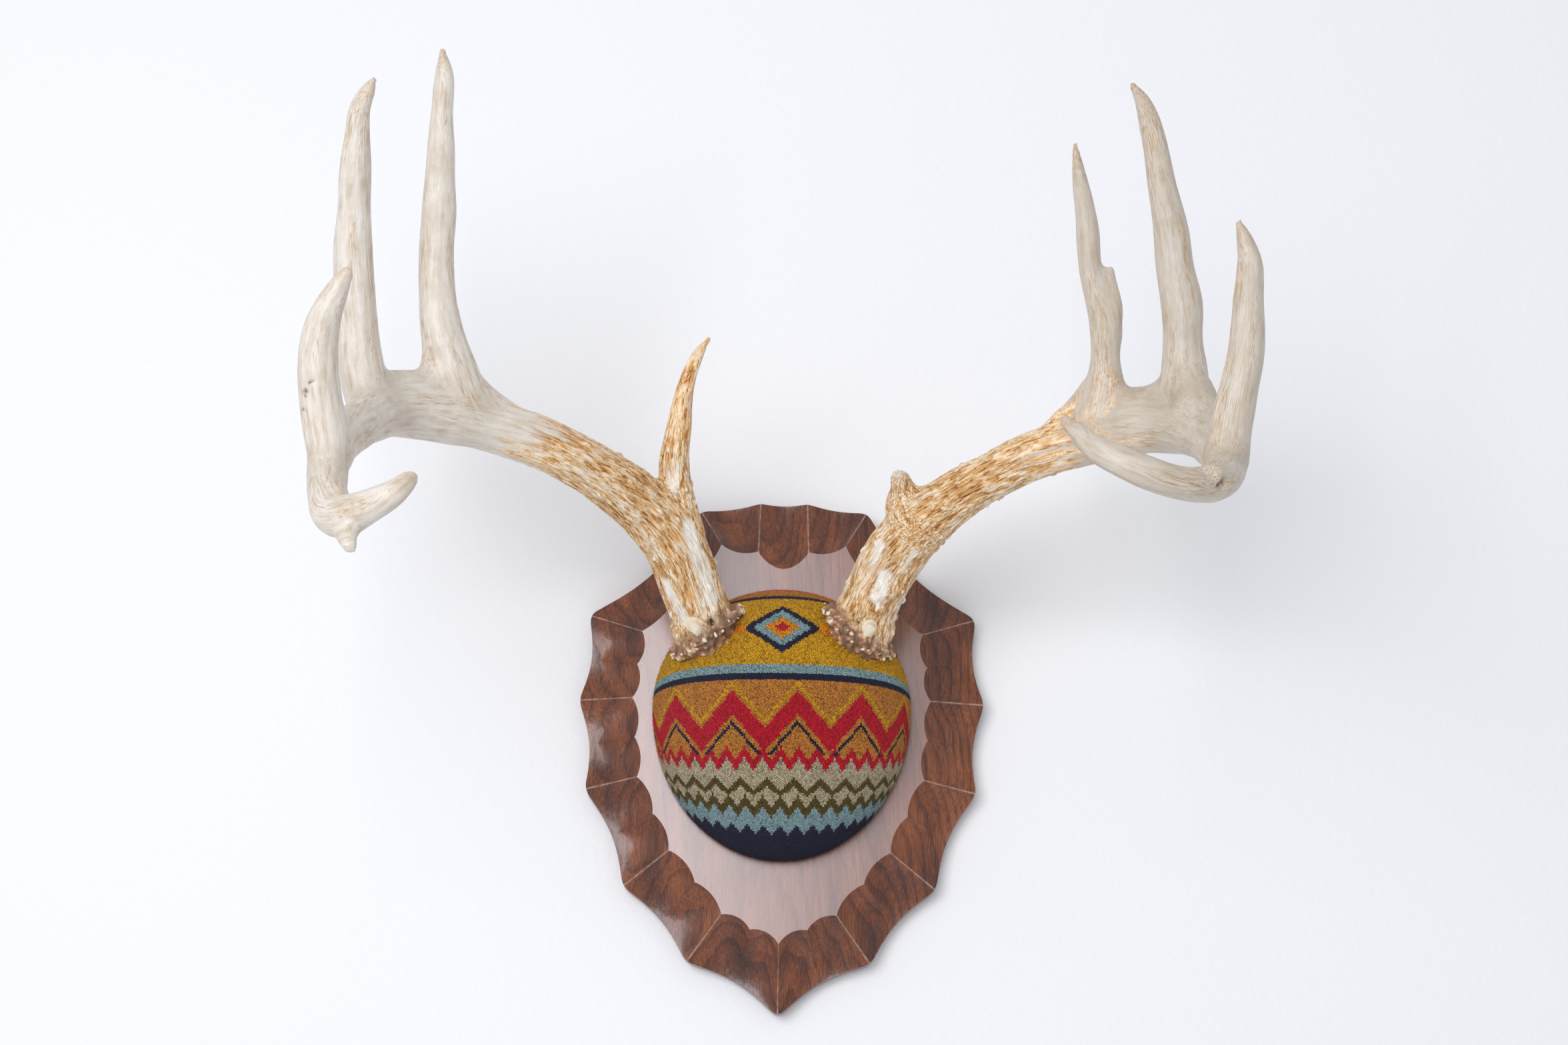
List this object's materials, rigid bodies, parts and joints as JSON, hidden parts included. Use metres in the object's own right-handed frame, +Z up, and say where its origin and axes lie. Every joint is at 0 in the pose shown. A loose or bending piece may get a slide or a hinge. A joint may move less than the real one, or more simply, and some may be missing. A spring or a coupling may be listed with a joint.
{
  "type": "deer antler mount",
  "caption": "Pair of white-tailed deer antlers on a rounded cloth-covered skull form, fixed to a shield-shaped walnut board with a scalloped, gouge-carved border, for hanging on a wall.",
  "frame": {"origin": "on the flat back of the board, midway across it and midway between its top and bottom points", "axes": "+Z up, +X to the right of someone who faces the mount, +Y into the wall, so the antlers stand out towards -Y"},
  "size_m": [0.4578, 0.3675, 0.4773],
  "materials": {
    "walnut": "carved walnut with a satin oil and lacquer finish",
    "wool": "napped wool blanket cloth with woven bands in mustard, ochre, red, navy, grey blue, orange, olive and cream",
    "antler": "bare deer antler, rust brown and grooved at the base, pale and smooth at the tines"
  },
  "bodies": {
    "root": {"shield": "walnut", "skull_form": "wool", "left_antler_base": "antler", "left_brow_tine": "antler", "left_middle_beam": "antler", "left_second_tine": "antler", "left_fork_beam": "antler", "left_third_tine": "antler", "left_front_beam": "antler", "left_fourth_tine": "antler", "left_beam_tip": "antler", "right_antler_base": "antler", "right_middle_beam": "antler", "right_second_tine": "antler", "right_fork_beam": "antler", "right_third_tine": "antler", "right_front_beam": "antler", "right_fourth_tine": "antler", "right_beam_tip": "antler"}
  },
  "joints": []
}
